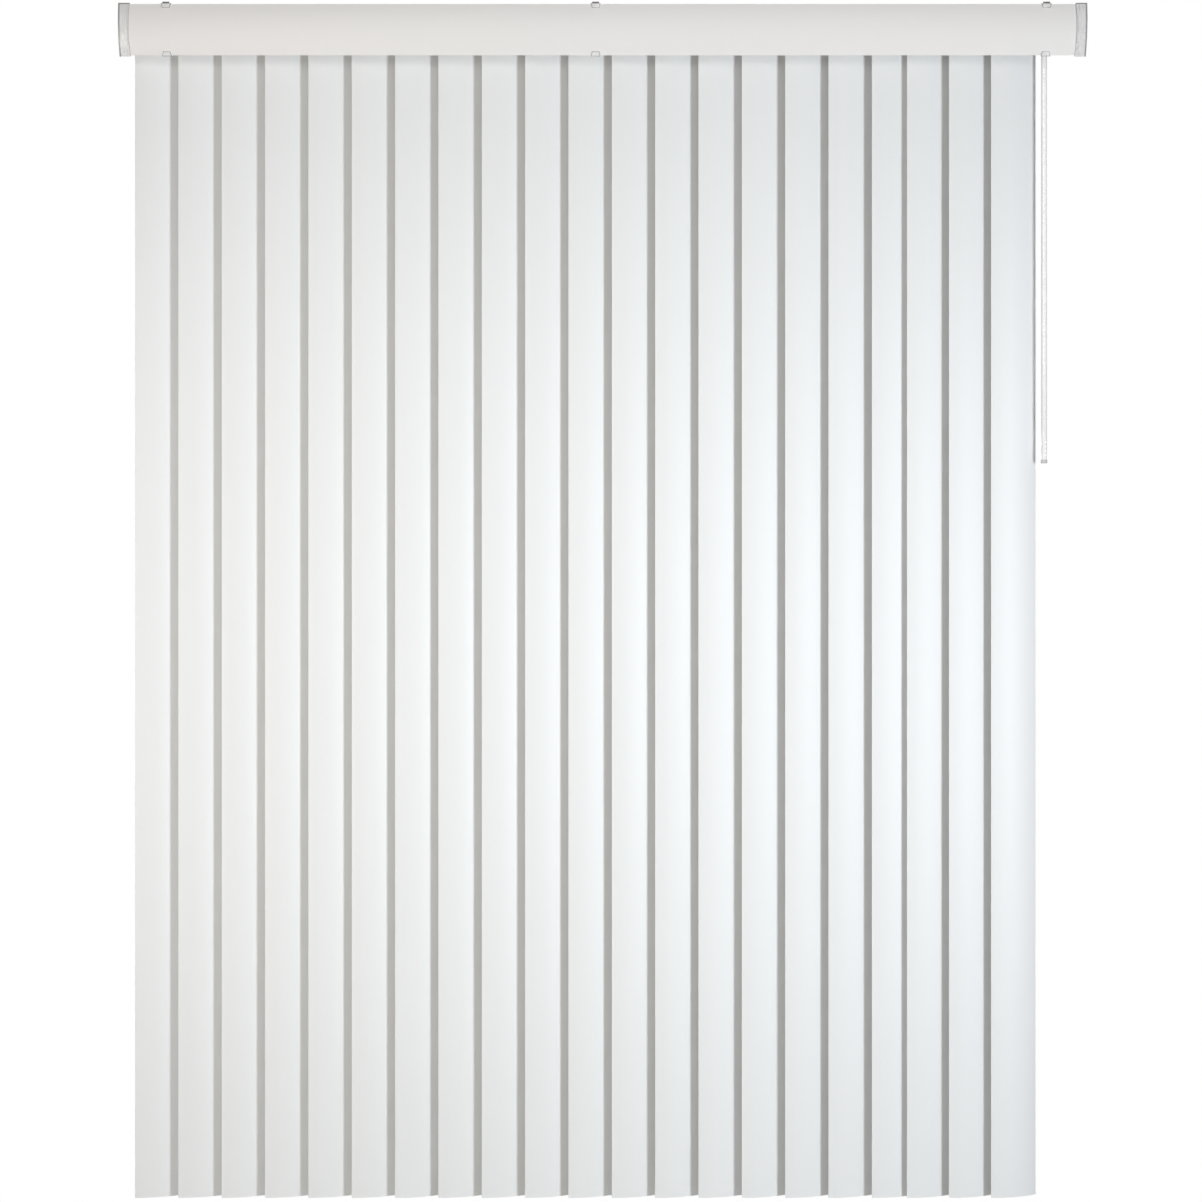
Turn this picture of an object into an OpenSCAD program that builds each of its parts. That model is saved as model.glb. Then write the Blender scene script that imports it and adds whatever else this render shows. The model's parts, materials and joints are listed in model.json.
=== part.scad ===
// Vertical blind: crowned vanes hang from carriers that roll in a headrail behind a curved valance.
// X runs to the right, Y to the back and Z up. The ceiling is the plane Z = 0. Sizes are in millimetres.

/* [Blind] */
// Drop from the ceiling to the bottom of the vanes
drop = 2134; // [1400:1:2600]
// Headrail's left end to the axis of the first vane
first_inset = 43; // [40:0.5:60]
// Axis of the lead vane to the headrail's right end
lead_inset = 96.5; // [92:0.5:130]
// Room between pieces that move past each other
play = 0.3; // [0.25:0.05:0.5]
// Running clearance of a shaft, on the radius
fit = 0.08; // [0.03:0.01:0.1]
// Room around a piece that is clipped in place
snug = 0.2; // [0.1:0.05:0.3]
// Overrun of every cut
over = 1; // [0.5:0.5:2]

/* [Vanes] */
// Width of a vane, straight across
vane_w = 88.9; // [76:0.1:100]
// Thickness of the PVC sheet
vane_t = 0.7; // [0.5:0.05:1]
// Height of the crown
vane_crown = 7; // [4:0.5:8]
// Turn of the hanging vanes from flat, left edge forward
vane_turn = 18; // [18:1:40]
// Width of the punched slot
slot_w = 13; // [10:0.5:18]
// Height of the punched slot
slot_h = 5; // [4.5:0.5:8]
// Top of the vane to the upper edge of the slot
slot_drop = 6.5; // [5:0.5:12]

/* [Hangers] */
// Width of the two fingers
finger_w = 10; // [8:0.5:12]
// Thickness of a finger
finger_t = 1.8; // [1.4:0.1:2]
// Length of the front finger
finger_l = 28; // [22:1:34]
// Width of the front finger at its round tip
finger_tip = 7; // [5:0.5:7.5]
// Spread of the lead-in at the front finger's tip
finger_flare = 0.9; // [0.5:0.1:1.2]
// Height of the lead-in
flare_h = 5; // [4:0.5:7]
// Height of the bridge above the vane
bridge_h = 3.8; // [3:0.2:6]
// Width of the hook that carries the vane
hook_w = 5; // [4:0.5:7]
// Height of the hook
hook_h = 3.4; // [2.6:0.2:4]
// Height of the hook's blunt nose
hook_nose = 1.4; // [1:0.2:2]
// Diameter of the stem
stem_d = 5.2; // [4.4:0.2:6]
// Diameter of the collar under the carrier
collar_d = 9; // [8:0.5:11]
// Thickness of the collar
collar_h = 1.2; // [1:0.1:2]
// Diameter of the pinion that heads the stem
pinion_d = 8; // [7:0.2:8.6]
// Height of the pinion
pinion_h = 11; // [8:0.5:13]
// Teeth of the pinion
pinion_teeth = 10; // [8:1:12]

/* [Carriers] */
// Length of a carrier along the headrail
car_l = 16.4; // [15:0.2:16.6]
// Width of a carrier
car_w = 27; // [25:0.5:27.6]
// Height of a carrier
car_h = 18.4; // [16:0.2:19]
// Corner radius of a carrier
car_round = 2; // [1:0.5:3]
// Chamfer along a carrier's edges
car_chamfer = 0.8; // [0.4:0.1:1]
// Slope of the shoulder over the tilt rod
car_shoulder = 5; // [3:0.5:5.5]
// Width of the window that shows the pinion
window_w = 7; // [5:0.5:7.5]
// Height of the window
window_h = 6.6; // [5:0.2:7]
// Wall above the window
window_roof = 2.4; // [2:0.2:3]
// Thickness of the ribs beside the window
rib_t = 1.4; // [1:0.1:2]
// Height of the ribs
rib_out = 0.8; // [0.5:0.1:1.2]
// Lift of a carrier above the track
car_lift = 0.6; // [0.5:0.1:1]
// Thickness of the floor that the pinion sits over
floor_h = 2.4; // [2:0.2:4]
// Diameter of the neck in the headrail's mouth
neck_d = 12; // [10:0.5:13]
// Drop of the neck below the headrail
neck_drop = 1.5; // [1:0.1:3]
// Diameter of a wheel
wheel_d = 9; // [8:0.2:10]
// Width of a wheel
wheel_w = 3.4; // [2.6:0.2:3.6]
// Thickness of a wheel's rim
wheel_rim = 1.1; // [0.8:0.1:1.2]
// Depth of the dish between rim and hub
wheel_dish = 0.7; // [0.4:0.1:0.9]
// Wall of a wheel's hub
hub_wall = 0.9; // [0.6:0.1:1]
// Diameter of a wheel's pin
pin_d = 3; // [2.4:0.2:3.4]
// Height of the head that keeps a wheel on its pin
pin_head = 0.6; // [0.5:0.1:0.8]
// Lead vane's axis to the wand's axis
wand_reach = 52; // [52:0.5:60]

/* [Spacers] */
// Width of a spacer strip
strip_w = 5; // [4:0.2:5.4]
// Stem axis to the front edge of a strip
strip_front = 9.5; // [9:0.1:9.6]
// Thickness of a spacer strip
strip_t = 0.35; // [0.25:0.05:0.5]
// Height from one strip level to the next
strip_step = 0.95; // [0.85:0.05:1]
// Levels that keep the strips apart when the vanes stack
strip_levels = 5; // [5:1:5]
// Reach of a strip past the next carrier's axis
strip_past = 2.7; // [1:0.1:4]
// Length of the post that a strip is fixed on
post_l = 4; // [3:0.5:6]
// Width of the post
post_w = 2.5; // [2:0.1:3]

/* [Tilt rod] */
// Diameter of the rod
rod_d = 6; // [5:0.2:6.4]
// Diameter of its end journals
journal_d = 4.8; // [4:0.2:4.8]
// Diameter of the three flutes
flute_d = 1.8; // [1.2:0.2:2.2]
// Flutes around the rod
flutes = 3; // [2:1:6]
// Stem axis to rod axis
rod_back = 8.5; // [8.4:0.1:9]
// Carrier's floor to rod axis
rod_up = 10.9; // [8:0.1:12]

/* [Headrail] */
// Length of the headrail
rail_l = 1676; // [1560:1:1760]
// Width of the headrail
rail_w = 42; // [41:0.5:46]
// Height of the headrail
rail_h = 28; // [27:0.5:32]
// Wall of the headrail
rail_t = 1.5; // [1.2:0.1:1.8]
// Outer corner radius of the headrail
rail_round = 2; // [1.9:0.1:3]
// Width of the mouth along its underside
rail_mouth = 14; // [13.5:0.5:16]
// Headrail's top to the upper side of the clip grooves
groove_drop = 4.2; // [3.6:0.2:6]
// Height of a clip groove
groove_h = 2; // [1.8:0.1:2.6]
// Depth of a clip groove
groove_deep = 1; // [0.8:0.1:1.2]
// Thickness of an end cap's plate
cap_t = 3; // [2:0.5:4]
// Length of an end cap's plug
plug_l = 8; // [6:0.5:12]
// Edge of an end cap's plate beyond the headrail
cap_edge = 1; // [0.5:0.1:2]

/* [Brackets] */
// Width of a bracket along the headrail
bracket_w = 32; // [26:1:40]
// Thickness of the spring steel
bracket_t = 1.2; // [1:0.1:1.6]
// Inner radius of its folds
bend_r = 1.2; // [0.8:0.1:1.6]
// Room for the screw heads above the headrail
head_room = 3.8; // [3.4:0.1:6]
// Distance between the outer brackets
bracket_span = 1280; // [1000:10:1340]
// Centre bracket to the right of the middle
bracket_shift = 60; // [50:1:120]
// Distance between the two screw holes
screw_gap = 22; // [18:1:26]
// Diameter of a screw hole
screw_d = 5; // [4:0.5:6]
// Reach of the release lever behind the bracket
lever = 7; // [5:0.5:10]
// Width of the release lever
lever_w = 20; // [14:1:24]
// Corner radius of the release lever
lever_round = 3; // [2:0.5:4]

/* [Valance] */
// Length of the valance strip
valance_l = 1715; // [1700:1:1800]
// Thickness of the valance strip
valance_t = 1; // [0.7:0.1:1.4]
// Ceiling to the upper edge of the valance
valance_drop = 4.5; // [4.3:0.1:8]
// Lean of the valance, lower edge back
valance_lean = 8; // [4:1:10]
// Room between the turning vanes and the valance's lower edge
valance_room = 5; // [4.4:0.2:12]
// Overlap of an end cap on the strip
end_lap = 17; // [12:1:24]
// Wall of an end cap
end_t = 1.2; // [1:0.1:2]
// Sweep of an end cap's inner edge, from its middle to its ends
end_sweep = 2; // [1:0.5:5]
// Reach of an end cap past the strip's edges
end_rise = 1.6; // [1.4:0.2:3]

/* [Valance clips] */
// Width of a clip
clip_w = 18; // [14:1:24]
// Width of its upper tab
tab_w = 13; // [10:1:14]
// Thickness of the clear plastic
clip_t = 1.4; // [1.2:0.1:1.8]
// Reach of the lips over the strip
lip_l = 6.5; // [4:0.5:9]
// Width of a lip at its tip, and of the spine behind the strip
lip_tip = 13; // [10:1:13.5]
// Reach of the clip over the top of the headrail
clip_grip = 12; // [8:1:16]
// Places of the three clips, as shares of half the headrail
clip_shares = [-0.924, -0.015, 0.939];

/* [Wand] */
// Ceiling to the lower end of the wand
wand_drop = 815; // [600:1:1100]
// Wand across its flats
wand_af = 9.4; // [8:0.2:9.8]
// Collar to the axis of the eye
eye_drop = 10.5; // [9.5:0.5:14]
// Thickness of the eye
eye_t = 3; // [2.4:0.2:4]
// Width of the eye
eye_w = 8; // [7:0.5:9]
// Diameter of the hinge pin
hinge_d = 3.6; // [3:0.2:4]
// Thickness of an ear of the wand's top
ear_t = 1.8; // [1.4:0.1:2.4]
// Diameter of the wand's top piece
sleeve_d = 13; // [12.6:0.2:13.4]
// Length of the wand's top piece
sleeve_l = 14; // [12:1:20]
// Depth of its socket
socket_l = 10; // [8:1:11]
// Height of the cone that ends the wand's top piece
top_cone = 3; // [1:0.5:3.5]
// Diameter of the wand's tip
tip_d = 11.8; // [11.6:0.1:12.6]
// Length of the wand's tip
tip_l = 6; // [5:0.5:10]
// Depth of the tip's socket
tip_socket = 3.6; // [3:0.2:4]
// Height of the bevel round the end of the tip
tip_bevel = 1; // [0.6:0.1:1.4]

/* [Hidden] */
$fn = 96;
// Gaps from vane to vane at rest, as shares of a full pitch: the last three are drawn a little short
gap_shares = [1, 1, 1, 1, 1, 1, 1, 1, 1, 1, 1, 1, 1, 1, 1, 1, 1, 0.81, 0.97, 0.97];
vane_count = len(gap_shares) + 1;
function sum_to(list, n) = n <= 0 ? 0 : list[n - 1] + sum_to(list, n - 1);
pitch = (rail_l - first_inset - lead_inset) / sum_to(gap_shares, len(gap_shares));
function vane_x(i) = first_inset - rail_l / 2 + pitch * sum_to(gap_shares, i - 1);
wand_x = vane_x(vane_count) + wand_reach;

// Radius and half angle of an arc from its width and crown
function arc_r(w, crown) = (w * w / 4 + crown * crown) / (2 * crown);
function arc_half(w, crown) = asin(w / 2 / arc_r(w, crown));
// Turned corner of a vane, the furthest it reaches from its axis
vane_reach = norm([vane_w / 2, vane_crown]) + vane_t;

// Heights, from the ceiling down
rail_top = -bracket_t - head_room;
rail_bot = rail_top - rail_h;
track_z = rail_bot + rail_t;
axle_z = track_z + play + wheel_d / 2;
car_bot = track_z + car_lift;
car_top = car_bot + car_h;
rod_z = car_bot + rod_up;
neck_bot = rail_bot - neck_drop;
seat_z = car_bot + floor_h;
window_z = car_top - window_roof - window_h;
collar_top = neck_bot - play;
collar_bot = collar_top - collar_h;
bridge_bot = collar_bot - bridge_h;
vane_top = bridge_bot - play;
vane_l = drop + vane_top;
slot_top = vane_top - slot_drop;
finger_end = collar_bot - finger_l;
groove_z = rail_top - groove_drop;
eye_z = collar_bot - eye_drop;

// Across the headrail
stem_r = stem_d / 2;
wheel_y = car_w / 2 + play;
finger_in = vane_t / 2 + snug;
strip_y = -strip_front;
post_y = strip_y - play - post_w;
strip_gap = 2 * play;

// The valance's section, from the crown of its face
valance_r = arc_r(vane_w, vane_crown);
valance_half = arc_half(vane_w, vane_crown);
valance_y = -vane_reach - valance_room - vane_crown * cos(valance_lean) - vane_w / 2 * sin(valance_lean);
valance_z = -valance_drop - vane_crown * sin(valance_lean) - vane_w / 2 * cos(valance_lean);
// Face of the strip, behind its crown, at a height along the section
function face_at(s) = valance_r - sqrt(pow(valance_r + valance_t / 2, 2) - s * s);
spine_in = vane_crown + valance_t / 2 + snug;
spine_out = spine_in + clip_t;
edge_s = vane_w / 2 + valance_t / 2 * sin(valance_half) + snug;

// Wand
wand_r = wand_af / sqrt(3);
eye_r = eye_w / 2;
sleeve_top = eye_z - eye_r - 2 * play;
sleeve_bot = sleeve_top - sleeve_l;
wand_top = sleeve_bot + socket_l;
tip_top = tip_l - wand_drop;

white = [0.93, 0.93, 0.92];
cream = [0.88, 0.87, 0.84];
clear = [0.85, 0.87, 0.88];
steel = [0.62, 0.63, 0.65];

// Extrudes a drawing of Y and Z along X, about the middle
module along_x(l) {
    rotate([90, 0, 90])
        linear_extrude(height = l, center = true)
            children();
}

// Rectangle with round corners, about the middle
module rounded(w, h, r) {
    square([w - 2 * r, h], center = true);
    square([w, h - 2 * r], center = true);
    for (x = [-1, 1], y = [-1, 1])
        translate([x * (w / 2 - r), y * (h / 2 - r)])
            circle(r);
}

// Curved band: its crown is at the origin and faces -Y
module band(w, crown, t_front, t_back, spread) {
    r = arc_r(w, crown);
    half = arc_half(w, crown) + spread;
    far = r + t_front + over;
    translate([0, r])
        intersection() {
            difference() {
                circle(r + t_front);
                circle(r - t_back);
            }
            polygon([[0, 0], [-far * tan(half), -far], [far * tan(half), -far]]);
        }
}

// Turns a section drawn like a flat vane into the valance's upright, leaning place
module on_valance() {
    translate([valance_y, valance_z])
        rotate(valance_lean - 90)
            children();
}

// Hole for a stem: a running bore through the floor and a wider one for the pinion
module stem_hole() {
    translate([0, 0, neck_bot - over])
        cylinder(r = stem_r + fit, h = seat_z - neck_bot + 2 * over);
    translate([0, 0, seat_z])
        cylinder(r = pinion_d / 2 + play, h = car_top - seat_z + over);
}

// Stem with its collar, neck and toothed pinion
module stem() {
    translate([0, 0, collar_bot])
        cylinder(d = collar_d, h = collar_h);
    translate([0, 0, collar_bot])
        cylinder(r = stem_r, h = seat_z + play + pinion_h / 2 - collar_bot);
    translate([0, 0, seat_z + play])
        linear_extrude(height = pinion_h)
            difference() {
                circle(d = pinion_d);
                for (k = [0 : pinion_teeth - 1])
                    rotate(k * 360 / pinion_teeth)
                        translate([pinion_d / 2, 0])
                            circle(d = pinion_d / pinion_teeth);
            }
}

// Fingers from the side: a long front one with a lead-in, the bridge, and a short back one
module finger_profile() {
    depth = finger_in + finger_t;
    heel_z = slot_top - slot_h - finger_t;
    polygon([
        [-depth, collar_bot],
        [depth, collar_bot],
        [depth, heel_z + finger_t],
        [finger_in + finger_t / 2, heel_z],
        [finger_in, heel_z],
        [finger_in, bridge_bot],
        [-finger_in, bridge_bot],
        [-finger_in, finger_end + flare_h],
        [-finger_in - finger_flare, finger_end],
        [-depth - finger_flare, finger_end],
        [-depth, finger_end + flare_h]
    ]);
}

// Fingers from the front: they narrow to a round tip
module finger_outline() {
    tip_r = finger_tip / 2;
    polygon([
        [-finger_w / 2, collar_bot],
        [-finger_w / 2, bridge_bot],
        [-tip_r, finger_end + tip_r],
        [tip_r, finger_end + tip_r],
        [finger_w / 2, bridge_bot],
        [finger_w / 2, collar_bot]
    ]);
    translate([0, finger_end + tip_r])
        circle(tip_r);
}

// Barbed hook from the side: flat above, where the vane hangs on it, and sloping below
module hook_profile() {
    root_y = finger_in + finger_t / 2;
    nose_y = -finger_in + play;
    hook_top = slot_top - fit;
    polygon([
        [root_y, hook_top],
        [nose_y, hook_top],
        [nose_y, hook_top - hook_nose],
        [root_y, hook_top - hook_h]
    ]);
}

// Hanger: the stem above, two fingers around the vane and a hook through its slot
module hanger() {
    stem();
    intersection() {
        along_x(finger_w)
            finger_profile();
        rotate([90, 0, 0])
            linear_extrude(height = vane_w, center = true)
                finger_outline();
    }
    along_x(hook_w)
        hook_profile();
}

// One vane on its hanger, turned as it hangs
module vane(i) {
    translate([vane_x(i), 0, 0])
        rotate([0, 0, vane_turn]) {
            color(white)
                difference() {
                    translate([0, 0, -drop])
                        linear_extrude(height = vane_l)
                            band(vane_w, vane_crown, vane_t / 2, vane_t / 2, 0);
                    translate([0, 0, slot_top - slot_h / 2])
                        rotate([90, 0, 0])
                            linear_extrude(height = 2 * vane_crown, center = true)
                                union() {
                                    square([slot_w - slot_h, slot_h], center = true);
                                    for (x = [-1, 1])
                                        translate([x * (slot_w - slot_h) / 2, 0])
                                            circle(d = slot_h);
                                }
                }
            color(cream)
                hanger();
        }
}

// Wheel of a carrier, on the front or the back
module wheel(side) {
    translate([0, side * (wheel_y + wheel_w / 2), axle_z])
        rotate([90, 0, 0])
            difference() {
                cylinder(d = wheel_d, h = wheel_w, center = true);
                cylinder(r = pin_d / 2 + fit, h = wheel_w + 2 * over, center = true);
                for (face = [-1, 1])
                    translate([0, 0, face * wheel_w / 2])
                        difference() {
                            cylinder(d = wheel_d - 2 * wheel_rim, h = 2 * wheel_dish, center = true);
                            cylinder(r = pin_d / 2 + hub_wall, h = wheel_w, center = true);
                        }
            }
}

// Pin for a wheel, with the head that keeps it on
module wheel_pin(side) {
    pin_l = play + wheel_w + play + pin_head;
    translate([0, side * (car_w / 2 + pin_l / 2 - over / 2), axle_z])
        rotate([90, 0, 0])
            cylinder(d = pin_d, h = pin_l + over, center = true);
    translate([0, side * (car_w / 2 + pin_l - pin_head / 2), axle_z])
        rotate([90, 0, 0])
            cylinder(d = pin_d + 2 * pin_head, h = pin_head, center = true);
}

// Spacer strip, fixed on the carrier's post at its own level
module spacer(level) {
    translate([0, 0, car_top + strip_gap + level * strip_step + fit])
        linear_extrude(height = strip_t)
            union() {
                translate([-post_l / 2, strip_y])
                    square([pitch + strip_past + post_l / 2, strip_w]);
                translate([pitch + strip_past, strip_y + strip_w / 2])
                    circle(d = strip_w);
                translate([-post_l / 2, post_y])
                    square([post_l, strip_y - post_y + over]);
            }
}

// Carrier from its end: chamfered edges, and a back shoulder that slopes over the tilt rod
module carrier_section() {
    half = car_w / 2;
    polygon([
        [-half, car_bot + car_chamfer],
        [-half + car_chamfer, car_bot],
        [half - car_chamfer, car_bot],
        [half, car_bot + car_chamfer],
        [half, car_top - car_shoulder],
        [half - car_shoulder, car_top],
        [-half + car_chamfer, car_top],
        [-half, car_top - car_chamfer]
    ]);
}

// Window in a carrier's front, down to the pinion
module carrier_window() {
    translate([-window_w / 2, -car_w, window_z])
        cube([window_w, car_w, window_h]);
}

// Ribs that stiffen a carrier's front beside the window
module carrier_ribs() {
    for (side = [-1, 1])
        translate([side * (window_w + rib_t) / 2, -car_w / 2, window_z + window_h / 2])
            cube([rib_t, 2 * rib_out, window_h], center = true);
}

// Carrier: moulded body, wheels and spacer; the lead one runs on to carry the wand
module carrier(i) {
    lead = i == vane_count;
    level = (i - 1) % strip_levels;
    stations = lead ? [0, wand_reach] : [0];
    body_l = car_l + (lead ? wand_reach : 0);
    translate([vane_x(i), 0, 0]) {
        color(cream)
            difference() {
                union() {
                    translate([body_l / 2 - car_l / 2, 0, 0])
                        intersection() {
                            along_x(body_l)
                                carrier_section();
                            translate([0, 0, car_bot])
                                linear_extrude(height = car_h)
                                    rounded(body_l, car_w, car_round);
                        }
                    for (x = stations)
                        translate([x, 0, 0]) {
                            translate([0, 0, neck_bot])
                                cylinder(d = neck_d, h = seat_z - neck_bot);
                            wheel_pin(-1);
                            wheel_pin(1);
                            carrier_ribs();
                        }
                    if (!lead)
                        translate([-post_l / 2, post_y, car_top - over])
                            cube([post_l, post_w, strip_gap + level * strip_step + over]);
                }
                for (x = stations)
                    translate([x, 0, 0]) {
                        stem_hole();
                        carrier_window();
                    }
                translate([body_l / 2 - car_l / 2, rod_back, rod_z])
                    rotate([0, 90, 0])
                        cylinder(r = rod_d / 2 + play, h = body_l + 2 * over, center = true);
            }
        color(white)
            for (x = stations)
                translate([x, 0, 0]) {
                    wheel(-1);
                    wheel(1);
                }
        if (!lead)
            color(steel)
                spacer(level);
    }
}

// Section of the headrail: a box with a mouth below and a clip groove in each side
module rail_section() {
    inner_w = rail_w - 2 * rail_t;
    inner_h = rail_h - 2 * rail_t;
    bead_h = groove_h + 2 * rail_t;
    difference() {
        union() {
            translate([0, rail_bot + rail_h / 2])
                difference() {
                    rounded(rail_w, rail_h, rail_round);
                    rounded(inner_w, inner_h, rail_round - rail_t);
                }
            for (side = [-1, 1])
                translate([side * (rail_w - rail_t - groove_deep) / 2, groove_z - groove_h / 2])
                    square([rail_t + groove_deep, bead_h], center = true);
        }
        translate([-rail_mouth / 2, rail_bot - over])
            square([rail_mouth, rail_t + 2 * over]);
        for (side = [-1, 1])
            translate([side * rail_w / 2, groove_z - groove_h / 2])
                square([2 * groove_deep, groove_h], center = true);
    }
}

module headrail() {
    color(white)
        along_x(rail_l)
            rail_section();
}

// End cap: a plate over the headrail's end, a plug in it and a bearing for the tilt rod
module end_cap(side) {
    plug_w = rail_w - 2 * (rail_t + groove_deep + snug);
    plug_h = rail_h - 2 * (rail_t + snug);
    rail_mid = rail_bot + rail_h / 2;
    color(white)
        translate([side * rail_l / 2, 0, 0])
            mirror([side < 0 ? 1 : 0, 0, 0])
                difference() {
                    union() {
                        translate([cap_t / 2, 0, 0])
                            along_x(cap_t)
                                translate([0, rail_mid])
                                    rounded(rail_w + 2 * cap_edge, rail_h + 2 * cap_edge, car_round);
                        translate([-plug_l / 2 + over / 2, 0, 0])
                            along_x(plug_l + over)
                                translate([0, rail_mid])
                                    square([plug_w, plug_h], center = true);
                    }
                    translate([-plug_l - over, rod_back, rod_z])
                        rotate([0, 90, 0])
                            cylinder(r = journal_d / 2 + fit, h = plug_l + over);
                }
}

// Tilt rod: fluted between the end caps, with a plain journal in each
module tilt_rod() {
    fluted_l = rail_l - 2 * (plug_l + play);
    color(steel)
        translate([0, rod_back, rod_z])
            rotate([0, 90, 0]) {
                linear_extrude(height = fluted_l, center = true)
                    difference() {
                        circle(d = rod_d);
                        for (k = [0 : flutes - 1])
                            rotate(k * 360 / flutes)
                                translate([rod_d / 2, 0])
                                    circle(d = flute_d);
                    }
                cylinder(d = journal_d, h = rail_l - 2 * play, center = true);
            }
}

// Bracket: a ceiling plate whose sprung sides clip into the headrail's grooves
module bracket(x) {
    side_in = rail_w / 2 + snug;
    hook_in = rail_w / 2 - groove_deep + snug;
    hook_mid = (hook_in + side_in + bracket_t) / 2;
    leg_bot = groove_z - groove_h;
    color(steel)
        translate([x, 0, 0])
            difference() {
                union() {
                    along_x(bracket_w)
                        union() {
                            difference() {
                                translate([0, leg_bot])
                                    rounded(2 * (side_in + bracket_t), -2 * leg_bot, bend_r + bracket_t);
                                translate([0, leg_bot])
                                    rounded(2 * side_in, -2 * (leg_bot + bracket_t), bend_r);
                                translate([-rail_w, 3 * leg_bot])
                                    square([2 * rail_w, -2 * leg_bot]);
                            }
                            for (side = [-1, 1])
                                translate([side * hook_mid, groove_z - bracket_t / 2])
                                    square([side_in + bracket_t - hook_in, bracket_t], center = true);
                        }
                    intersection() {
                        translate([0, side_in, leg_bot])
                            linear_extrude(height = bracket_t)
                                rounded(lever_w, 2 * lever, lever_round);
                        translate([-lever_w / 2, side_in, leg_bot])
                            cube([lever_w, lever, bracket_t]);
                    }
                }
                for (side = [-1, 1])
                    translate([0, side * screw_gap / 2, -bracket_t - over])
                        cylinder(d = screw_d, h = bracket_t + 2 * over);
            }
}

module valance_strip() {
    color(white)
        along_x(valance_l)
            on_valance()
                band(vane_w, vane_crown, valance_t / 2, valance_t / 2, 0);
}

// End cap of the valance: a sleeve over the strip's end, swept at its inner edge and closed by a plate
module valance_end(side) {
    gap_t = valance_t / 2 + snug;
    gap_spread = snug / valance_r * 180 / PI;
    wall_spread = (snug + end_rise) / valance_r * 180 / PI;
    sweep_r = arc_r(vane_w, end_sweep);
    sleeve_x = end_lap + end_sweep + end_t;
    color(clear)
        translate([side * valance_l / 2, 0, 0])
            mirror([side < 0 ? 1 : 0, 0, 0]) {
                difference() {
                    translate([-sleeve_x / 2, 0, 0])
                        along_x(sleeve_x)
                            on_valance()
                                difference() {
                                    band(vane_w, vane_crown, gap_t + end_t, gap_t + end_t, wall_spread);
                                    band(vane_w, vane_crown, gap_t, gap_t, gap_spread);
                                }
                    translate([-end_lap - sweep_r, valance_y, valance_z])
                        rotate([90, 0, 0])
                            cylinder(r = sweep_r, h = vane_w, center = true);
                }
                translate([end_t / 2, 0, 0])
                    along_x(end_t)
                        on_valance()
                            band(vane_w, vane_crown, gap_t + end_t, gap_t + end_t, wall_spread);
            }
}

// Lip of a clip over one edge of the strip: -1 above, 1 below
module clip_lip(end) {
    tip_s = vane_w / 2 - lip_l;
    edge_y = vane_crown - valance_t / 2 - snug;
    tip_y = face_at(tip_s) - snug;
    polygon([
        [end * edge_s, edge_y],
        [end * tip_s, tip_y],
        [end * tip_s, tip_y - clip_t],
        [end * (edge_s + clip_t), edge_y - clip_t],
        [end * (edge_s + clip_t), spine_out],
        [end * edge_s, spine_out]
    ]);
}

// Arms that hold a clip on the headrail: one over its top, one below, a leg and a hook between them
module clip_arms() {
    leg_y = -rail_w / 2 - snug;
    low_z = groove_z - groove_h - clip_t;
    spine_y = valance_y + spine_out * cos(valance_lean) - (edge_s + clip_t) * sin(valance_lean);
    translate([spine_y - over, rail_top])
        square([-rail_w / 2 + clip_grip - spine_y + over, clip_t]);
    translate([spine_y, low_z])
        square([leg_y - spine_y, clip_t]);
    translate([leg_y - clip_t, low_z])
        square([clip_t, rail_top - low_z + over]);
    translate([leg_y - clip_t, groove_z - groove_h + snug])
        square([clip_t + groove_deep, groove_h - 2 * snug]);
}

// Clip from the front: its lips narrow to their tips, and the spine runs between them
module clip_outline() {
    half_h = (edge_s + clip_t) * cos(valance_lean) + spine_out * sin(valance_lean);
    tip_h = (vane_w / 2 - lip_l) * cos(valance_lean);
    polygon([
        [-clip_w / 2, half_h],
        [clip_w / 2, half_h],
        [lip_tip / 2, tip_h],
        [lip_tip / 2, -tip_h],
        [clip_w / 2, -half_h],
        [-clip_w / 2, -half_h],
        [-lip_tip / 2, -tip_h],
        [-lip_tip / 2, tip_h]
    ]);
}

// Clear clip that hooks the valance strip to the headrail
module valance_clip(share) {
    color(clear)
        translate([share * rail_l / 2, 0, 0]) {
            intersection() {
                along_x(clip_w)
                    on_valance()
                        union() {
                            clip_lip(-1);
                            clip_lip(1);
                            translate([-edge_s - clip_t, spine_in])
                                square([2 * (edge_s + clip_t), clip_t]);
                        }
                translate([0, valance_y, valance_z])
                    rotate([90, 0, 0])
                        linear_extrude(height = vane_w, center = true)
                            clip_outline();
            }
            along_x(tab_w)
                clip_arms();
        }
}

// Stem of the wand: the vanes' stem with an eye below
module wand_stem() {
    color(cream)
        translate([wand_x, 0, 0])
            difference() {
                union() {
                    stem();
                    translate([0, 0, eye_z / 2 + collar_bot / 2])
                        cube([eye_t, eye_w, collar_bot - eye_z], center = true);
                    translate([0, 0, eye_z])
                        rotate([0, 90, 0])
                            cylinder(r = eye_r, h = eye_t, center = true);
                }
                translate([0, 0, eye_z])
                    rotate([0, 90, 0])
                        cylinder(r = hinge_d / 2 + fit, h = eye_t + 2 * over, center = true);
            }
}

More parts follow.
